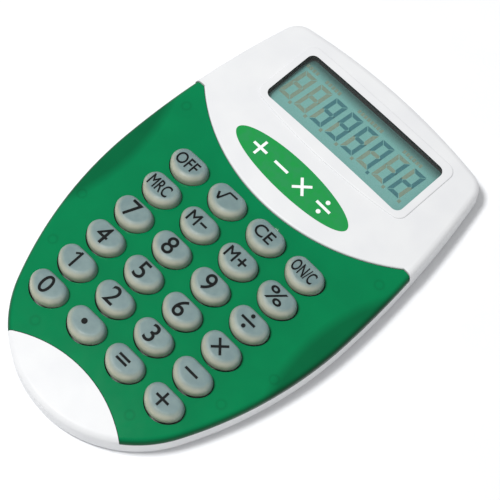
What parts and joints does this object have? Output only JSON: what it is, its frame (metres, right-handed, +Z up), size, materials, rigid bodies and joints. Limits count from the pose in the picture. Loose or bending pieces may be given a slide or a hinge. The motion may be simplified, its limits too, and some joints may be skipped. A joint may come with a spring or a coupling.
{
  "type": "desk calculator",
  "caption": "Hand-sized desk calculator with a crowned white case, translucent green key cover, oval rubber keys, sunken digit display, battery door and rubber feet.",
  "frame": {"origin": "middle of the footprint, on the surface that the feet stand on", "axes": "+X to the right across the keys, +Y towards the display, +Z up out of the keys"},
  "size_m": [0.0772, 0.12, 0.0126],
  "materials": {
    "white_shell": "satin moulded ABS",
    "green_cover": "tinted translucent moulded plastic",
    "key_rubber": "translucent grey silicone",
    "clear_lens": "clear moulded acrylic",
    "black_gasket": "matt black foam rubber",
    "lcd_film_stack": "grey-green polariser film",
    "lcd_glass": "display glass",
    "flex_film": "amber polyester film with carbon tracks",
    "membrane_rubber": "matt silicone",
    "circuit_board": "solder mask on paper laminate",
    "epoxy": "black epoxy",
    "component_ceramic": "ceramic chip components",
    "screw_steel": "zinc plated steel",
    "cell_steel": "nickel plated steel can",
    "contact_metal": "nickel plated spring strip",
    "foot_rubber": "matt black rubber"
  },
  "bodies": {
    "case": {"back_shell": "white_shell", "battery_cell": "cell_steel", "battery_contact_negative": "contact_metal", "battery_contact_positive": "contact_metal", "chip_blob": "epoxy", "display_lens": "clear_lens", "front_housing": "white_shell", "housing_screws": "screw_steel", "key_cover": "green_cover", "keypad_membrane": "membrane_rubber", "lcd_film": "flex_film", "lcd_foam_pad": "black_gasket", "lcd_gasket": "black_gasket", "lcd_panel": "lcd_glass", "lcd_reflector": "lcd_film_stack", "pcb": "circuit_board", "pcb_components": "component_ceramic", "pcb_screws": "screw_steel", "polariser": "lcd_film_stack", "rubber_feet": "foot_rubber"},
    "door": {"battery_door": "white_shell"},
    "key_0_cap": {"key_0": "key_rubber"},
    "key_1_cap": {"key_1": "key_rubber"},
    "key_2_cap": {"key_2": "key_rubber"},
    "key_3_cap": {"key_3": "key_rubber"},
    "key_4_cap": {"key_4": "key_rubber"},
    "key_5_cap": {"key_5": "key_rubber"},
    "key_6_cap": {"key_6": "key_rubber"},
    "key_7_cap": {"key_7": "key_rubber"},
    "key_8_cap": {"key_8": "key_rubber"},
    "key_9_cap": {"key_9": "key_rubber"},
    "key_ce_cap": {"key_ce": "key_rubber"},
    "key_divide_cap": {"key_divide": "key_rubber"},
    "key_equals_cap": {"key_equals": "key_rubber"},
    "key_m_minus_cap": {"key_m_minus": "key_rubber"},
    "key_m_plus_cap": {"key_m_plus": "key_rubber"},
    "key_minus_cap": {"key_minus": "key_rubber"},
    "key_mrc_cap": {"key_mrc": "key_rubber"},
    "key_off_cap": {"key_off": "key_rubber"},
    "key_on_c_cap": {"key_on_c": "key_rubber"},
    "key_percent_cap": {"key_percent": "key_rubber"},
    "key_plus_cap": {"key_plus": "key_rubber"},
    "key_point_cap": {"key_point": "key_rubber"},
    "key_root_cap": {"key_root": "key_rubber"},
    "key_times_cap": {"key_times": "key_rubber"}
  },
  "joints": [
    {"name": "key_0_press", "type": "slide", "parent": "case", "child": "key_0_cap", "axis": [0, 0, -1], "range_m": [0, 0.0008], "stiffness_N_per_m": 900},
    {"name": "key_1_press", "type": "slide", "parent": "case", "child": "key_1_cap", "axis": [0, 0, -1], "range_m": [0, 0.0008], "stiffness_N_per_m": 900},
    {"name": "key_2_press", "type": "slide", "parent": "case", "child": "key_2_cap", "axis": [0, 0, -1], "range_m": [0, 0.0008], "stiffness_N_per_m": 900},
    {"name": "key_3_press", "type": "slide", "parent": "case", "child": "key_3_cap", "axis": [0, 0, -1], "range_m": [0, 0.0008], "stiffness_N_per_m": 900},
    {"name": "key_4_press", "type": "slide", "parent": "case", "child": "key_4_cap", "axis": [0, 0, -1], "range_m": [0, 0.0008], "stiffness_N_per_m": 900},
    {"name": "key_5_press", "type": "slide", "parent": "case", "child": "key_5_cap", "axis": [0, 0, -1], "range_m": [0, 0.0008], "stiffness_N_per_m": 900},
    {"name": "key_6_press", "type": "slide", "parent": "case", "child": "key_6_cap", "axis": [0, 0, -1], "range_m": [0, 0.0008], "stiffness_N_per_m": 900},
    {"name": "key_7_press", "type": "slide", "parent": "case", "child": "key_7_cap", "axis": [0, 0, -1], "range_m": [0, 0.0008], "stiffness_N_per_m": 900},
    {"name": "key_8_press", "type": "slide", "parent": "case", "child": "key_8_cap", "axis": [0, 0, -1], "range_m": [0, 0.0008], "stiffness_N_per_m": 900},
    {"name": "key_9_press", "type": "slide", "parent": "case", "child": "key_9_cap", "axis": [0, 0, -1], "range_m": [0, 0.0008], "stiffness_N_per_m": 900},
    {"name": "key_ce_press", "type": "slide", "parent": "case", "child": "key_ce_cap", "axis": [0, 0, -1], "range_m": [0, 0.0008], "stiffness_N_per_m": 900},
    {"name": "key_divide_press", "type": "slide", "parent": "case", "child": "key_divide_cap", "axis": [0, 0, -1], "range_m": [0, 0.0008], "stiffness_N_per_m": 900},
    {"name": "key_equals_press", "type": "slide", "parent": "case", "child": "key_equals_cap", "axis": [0, 0, -1], "range_m": [0, 0.0008], "stiffness_N_per_m": 900},
    {"name": "key_m_minus_press", "type": "slide", "parent": "case", "child": "key_m_minus_cap", "axis": [0, 0, -1], "range_m": [0, 0.0008], "stiffness_N_per_m": 900},
    {"name": "key_m_plus_press", "type": "slide", "parent": "case", "child": "key_m_plus_cap", "axis": [0, 0, -1], "range_m": [0, 0.0008], "stiffness_N_per_m": 900},
    {"name": "key_minus_press", "type": "slide", "parent": "case", "child": "key_minus_cap", "axis": [0, 0, -1], "range_m": [0, 0.0008], "stiffness_N_per_m": 900},
    {"name": "key_mrc_press", "type": "slide", "parent": "case", "child": "key_mrc_cap", "axis": [0, 0, -1], "range_m": [0, 0.0008], "stiffness_N_per_m": 900},
    {"name": "key_off_press", "type": "slide", "parent": "case", "child": "key_off_cap", "axis": [0, 0, -1], "range_m": [0, 0.0008], "stiffness_N_per_m": 900},
    {"name": "key_on_c_press", "type": "slide", "parent": "case", "child": "key_on_c_cap", "axis": [0, 0, -1], "range_m": [0, 0.0008], "stiffness_N_per_m": 900},
    {"name": "key_percent_press", "type": "slide", "parent": "case", "child": "key_percent_cap", "axis": [0, 0, -1], "range_m": [0, 0.0008], "stiffness_N_per_m": 900},
    {"name": "key_plus_press", "type": "slide", "parent": "case", "child": "key_plus_cap", "axis": [0, 0, -1], "range_m": [0, 0.0008], "stiffness_N_per_m": 900},
    {"name": "key_point_press", "type": "slide", "parent": "case", "child": "key_point_cap", "axis": [0, 0, -1], "range_m": [0, 0.0008], "stiffness_N_per_m": 900},
    {"name": "key_root_press", "type": "slide", "parent": "case", "child": "key_root_cap", "axis": [0, 0, -1], "range_m": [0, 0.0008], "stiffness_N_per_m": 900},
    {"name": "key_times_press", "type": "slide", "parent": "case", "child": "key_times_cap", "axis": [0, 0, -1], "range_m": [0, 0.0008], "stiffness_N_per_m": 900},
    {"name": "door_hinge", "type": "hinge", "parent": "case", "child": "door", "pos_m": [0.017, 0.03226, 0.0012], "axis": [1, 0, 0], "range_deg": [0, 90]}
  ]
}
